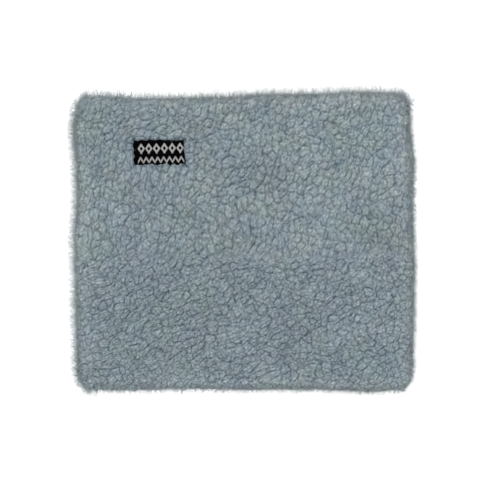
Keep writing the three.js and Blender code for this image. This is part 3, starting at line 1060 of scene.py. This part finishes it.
def on_label(a, b, c):
    """Point of the label: a along it, b up it, c above its underside."""
    x = LABEL_CENTRE[0] + a * math.cos(LABEL_TILT) - b * math.sin(LABEL_TILT)
    y = LABEL_CENTRE[1] + a * math.sin(LABEL_TILT) + b * math.cos(LABEL_TILT)
    ends_pulled_in = 0.25 * (np.abs(a) / 21) ** 6 + 0.2 * (np.abs(b) / 11) ** 6
    wave = 0.3 * noise(a / 13 + 5, b / 12 + 5, 61) - ends_pulled_in
    return drape(np.stack([x, y, LABEL_LOW[2] + c + wave + 0 * x], -1))


def label_line():
    """Middle line of the ribbon along the label, with both ends folded under."""
    half, turn = LABEL_WIDTH / 2, (LABEL_RISE - LABEL_THICKNESS) / 2
    low, high = LABEL_THICKNESS / 2, LABEL_RISE - LABEL_THICKNESS / 2
    line = [(a, high) for a in np.linspace(0, half - turn, 45)]
    for angle in np.linspace(0, math.pi, 7)[1:]:
        line.append((half - turn + turn * math.sin(angle), high - turn * (1 - math.cos(angle))))
    line += [(a, low) for a in np.linspace(half - turn, half - LABEL_FOLD, 6)[1:]]
    return half_to_whole(line)


def make_label():
    """Woven ribbon with both ends folded under."""
    loop = strip_loop(label_line(), LABEL_THICKNESS)
    b, k = np.meshgrid(np.linspace(-LABEL_HEIGHT / 2, LABEL_HEIGHT / 2, 45), np.arange(len(loop)))
    vertices, faces = closed_sweep(on_label(loop[k, 0], b, loop[k, 1]))
    label = new_object("woven_label_ribbon", vertices, faces, LABEL_BLACK, "front_wall")
    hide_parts("woven_label")


def float_path(start, end, b):
    """One woven float, a short flat arch of yarn across the label."""
    t = np.linspace(0, 1, 5)
    arch = 0.02 + FLOAT_ARCH * np.sin(math.pi * t) ** 0.4
    return on_label(start + (end - start) * t, b + 0 * t, LABEL_RISE + arch)


def diamond_floats():
    """Rows of floats that make open diamonds, side by side."""
    half_width, half_height = DIAMOND_HALF
    open_width, open_height = DIAMOND_OPENING
    centre_a, centre_b = DIAMOND_CENTRE
    for b in np.arange(-half_height + FLOAT_PITCH / 2, half_height, FLOAT_PITCH):
        for i in range(DIAMOND_COUNT):
            middle = centre_a + (2 * i + 1 - DIAMOND_COUNT) * half_width
            wide = half_width * (1 - abs(b) / half_height)
            hollow = open_width * (1 - abs(b) / open_height)
            if hollow > SHORTEST_FLOAT:
                yield float_path(middle - wide, middle - hollow, centre_b + b)
                yield float_path(middle + hollow, middle + wide, centre_b + b)
            elif wide > SHORTEST_FLOAT:
                yield float_path(middle - wide, middle + wide, centre_b + b)


def zigzag_floats():
    """Rows of floats that make a zigzag line."""
    half_pitch, half_rise = ZIGZAG_HALF
    centre_a, centre_b = ZIGZAG_CENTRE
    slope = 2 * half_rise / half_pitch
    half_height = half_rise + ZIGZAG_HALF_LINE
    for b in np.arange(-half_rise - ZIGZAG_HALF_LINE + FLOAT_PITCH / 2, half_height, FLOAT_PITCH):
        for i in range(2 * ZIGZAG_COUNT):
            start = centre_a + (i - ZIGZAG_COUNT) * half_pitch
            low = max(0.0, (b + half_rise - ZIGZAG_HALF_LINE) / slope)
            high = min(half_pitch, (b + half_rise + ZIGZAG_HALF_LINE) / slope)
            if i % 2:
                low, high = half_pitch - high, half_pitch - low
            if high - low > 2 * SHORTEST_FLOAT:
                yield float_path(start + low, start + high, centre_b + b)


def label_stitches(side):
    """Running stitches down one folded end."""
    a = side * (LABEL_WIDTH / 2 - LABEL_STITCH_INSET)
    t = np.linspace(-0.5, 0.5, 7)
    for b in np.arange(-LABEL_HEIGHT / 2 + 2, LABEL_HEIGHT / 2 - 1, LABEL_STITCH_PITCH):
        c = LABEL_RISE + 0.2 - 1.1 * np.abs(2 * t) ** 5
        yield on_label(a + 0.15 * t, b + LABEL_STITCH_LENGTH * t, c)


def weave_in(name, paths, material, node):
    """Yarn in the label."""
    make_threads(name, paths, FLOAT_RADIUS, material, "front_wall", node)


make_label()
weave_in("label_diamond_floats", diamond_floats(), LABEL_SILVER, "label_motif_diamonds")
weave_in("label_zigzag_floats", zigzag_floats(), LABEL_SILVER, "label_motif_zigzag")
for direction, side in ((-1, "left"), (1, "right")):
    stitches = label_stitches(direction)
    weave_in(f"label_end_stitches_{side}", stitches, LABEL_BLACK, f"label_stitching_{side}")

# ---------------- care label


def arc(centre, radius, start, end):
    """Points of an arc that goes down from the side of its centre."""
    angles = np.linspace(start, end, 8)
    return [(centre[0] + radius * math.cos(a), centre[1] - radius * math.sin(a)) for a in angles]


def care_label_line(low, high):
    """Middle line of the ribbon: down round the seam, out to its fold, and back again."""
    radius = (MIDDLE - low[2]) - CARE_THICKNESS
    centre = (high[0] - (MIDDLE - low[2]), MIDDLE)
    start, quarter = 0.02, math.pi / 2
    outer = arc(centre, radius, start, quarter)
    run = np.linspace(centre[0], low[0] + 0.4, 16)[1:]
    outer += [(x, centre[1] - radius + 0.12 * math.sin(0.5 * x)) for x in run]
    end_x, end_z = outer[-1]
    bend = CARE_LAYER_GAP / 2
    angles = np.linspace(0, math.pi, 6)[1:]
    turned = [(end_x - bend * math.sin(a), end_z + bend * (1 - math.cos(a))) for a in angles]
    inner = [(x, z + CARE_LAYER_GAP) for x, z in outer[:7:-1]]
    inner += arc(centre, radius - CARE_LAYER_GAP, quarter, start)
    return np.array(outer + turned + inner[1:])


def make_care_label():
    """Blank satin ribbon, a flat loop that comes out of the right lining seam."""
    low, high = box_mm("care_label")
    margin = 0.2
    line = care_label_line(low, high)
    loop = strip_loop(line, CARE_THICKNESS)
    y, k = np.meshgrid(np.linspace(low[1] + margin, high[1] - margin, 17), np.arange(len(loop)))
    on_run = loop[k, 0] < high[0] - (MIDDLE - low[2])
    wave = 0.12 * np.sin(0.7 * y + 0.4 * loop[k, 0]) * on_run
    vertices, faces = closed_sweep(drape(np.stack([loop[k, 0], y, loop[k, 1] + wave], -1)))
    label = new_object("care_label_satin_loop", vertices, faces, SATIN, CARE_BEND)
    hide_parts("care_label")


make_care_label()

# ---------------- camera, light and floor


def make_camera():
    """Camera straight above the gaiter."""
    camera = bpy.data.objects.new("camera", bpy.data.cameras.new("camera"))
    camera.data.lens = CAMERA_LENS
    camera.data.sensor_width = CAMERA_SENSOR
    link(camera)
    distance = VIEW_WIDTH * CAMERA_LENS / CAMERA_SENSOR
    camera.location = (VIEW_CENTRE[0] * MM, VIEW_CENTRE[1] * MM, (distance + MIDDLE) * MM)
    bpy.context.scene.camera = camera


def make_light():
    """White studio, brighter towards the horizon, and a soft lamp."""
    world = bpy.data.worlds.new("studio")
    world.use_nodes = True
    nodes, links = world.node_tree.nodes, world.node_tree.links
    background = nodes["Background"]
    background.inputs["Color"].default_value = (1, 1, 1, 1)
    direction = add(nodes, "TexCoord")
    upwards = add(nodes, "SeparateXYZ")
    links.new(direction.outputs["Generated"], upwards.inputs[0])
    lowness = math_node(nodes, links, "SUBTRACT", 1.0, upwards.outputs["Z"])
    glow = math_node(nodes, links, "POWER", lowness, 2.0)
    strength = remap(nodes, links, glow, 0.0, 1.0, ZENITH_LIGHT, HORIZON_LIGHT)
    links.new(strength, background.inputs["Strength"])
    bpy.context.scene.world = world
    sun = bpy.data.objects.new("soft_sun", bpy.data.lights.new("soft_sun", "SUN"))
    sun.data.energy = SUN_LIGHT
    sun.data.angle = SUN_ANGLE
    sun.rotation_euler = Vector(SUN_DIRECTION).to_track_quat("-Z", "Y").to_euler()
    link(sun)
    bpy.context.scene.view_settings.view_transform = "Standard"


def make_floor():
    """Glowing white floor."""
    material, _, _, shader = new_material("floor_white")
    set_inputs(shader, {"Base Color": (0.05, 0.05, 0.05, 1), "Roughness": 0.9})
    set_inputs(shader, {"Emission Color": (1, 1, 1, 1), "Emission Strength": FLOOR_GLOW})
    mesh = bpy.data.meshes.new("floor")
    corners = [(x * FLOOR_SIZE, y * FLOOR_SIZE, 0) for x, y in ((-1, -1), (1, -1), (1, 1), (-1, 1))]
    mesh.from_pydata(corners, [], [(0, 1, 2, 3)])
    mesh.materials.append(material)
    floor = bpy.data.objects.new("floor", mesh)
    link(floor)


make_camera()
make_light()
make_floor()
